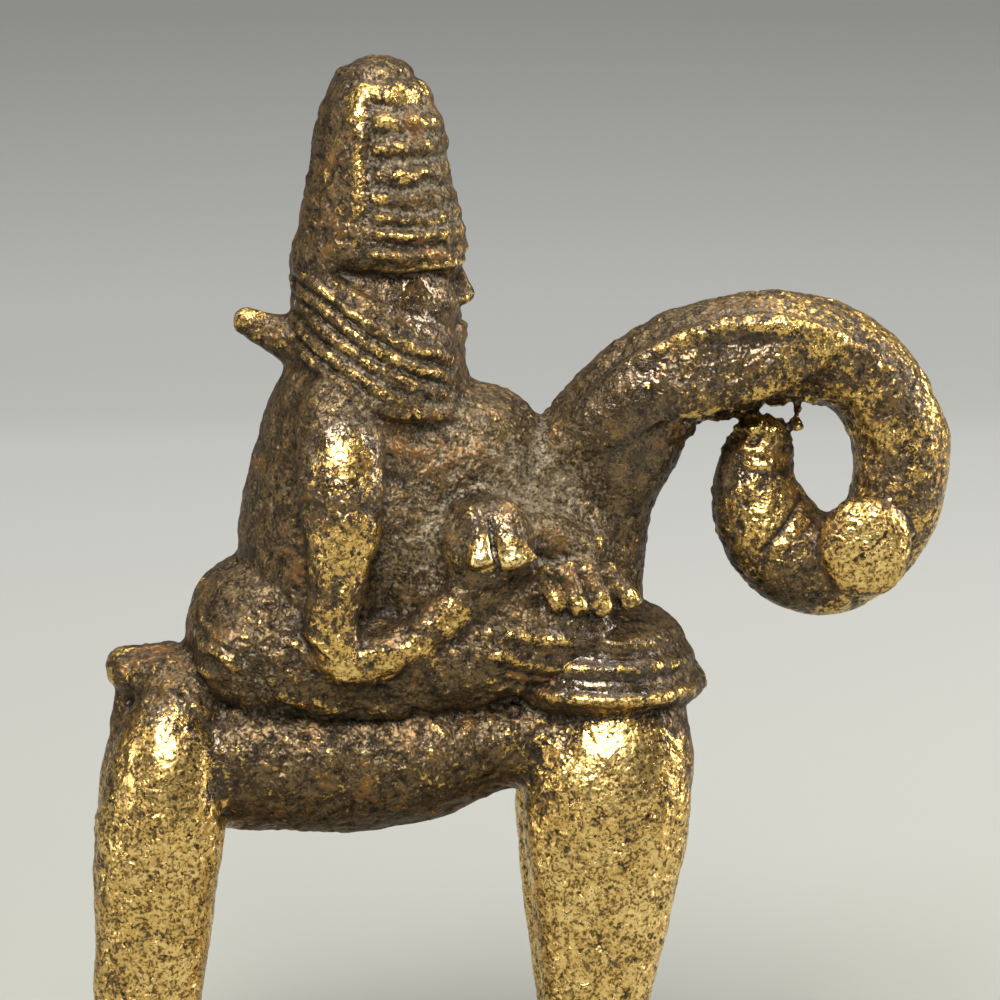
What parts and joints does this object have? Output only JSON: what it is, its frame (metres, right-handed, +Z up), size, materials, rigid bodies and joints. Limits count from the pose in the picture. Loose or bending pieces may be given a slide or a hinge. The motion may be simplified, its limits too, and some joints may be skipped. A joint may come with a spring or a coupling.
{
  "type": "equestrian figure",
  "caption": "Cast brass horse and rider on a low base; the rider wears a tall ribbed headdress and the horse's muzzle curls into a coil. Stands on a flat underside.",
  "frame": {"origin": "centre of the figure's bounding box in plan, at the underside of the low base", "axes": "+X forwards, the way the horse faces; +Y to the horse's left; +Z up"},
  "size_m": [0.0484, 0.0154, 0.062],
  "materials": {
    "horse_and_rider": "cast brass worn bright on the high places, with dark brown patina and grey dirt in the hollows"
  },
  "bodies": {
    "root": {"horse_and_rider": "horse_and_rider"}
  },
  "joints": []
}
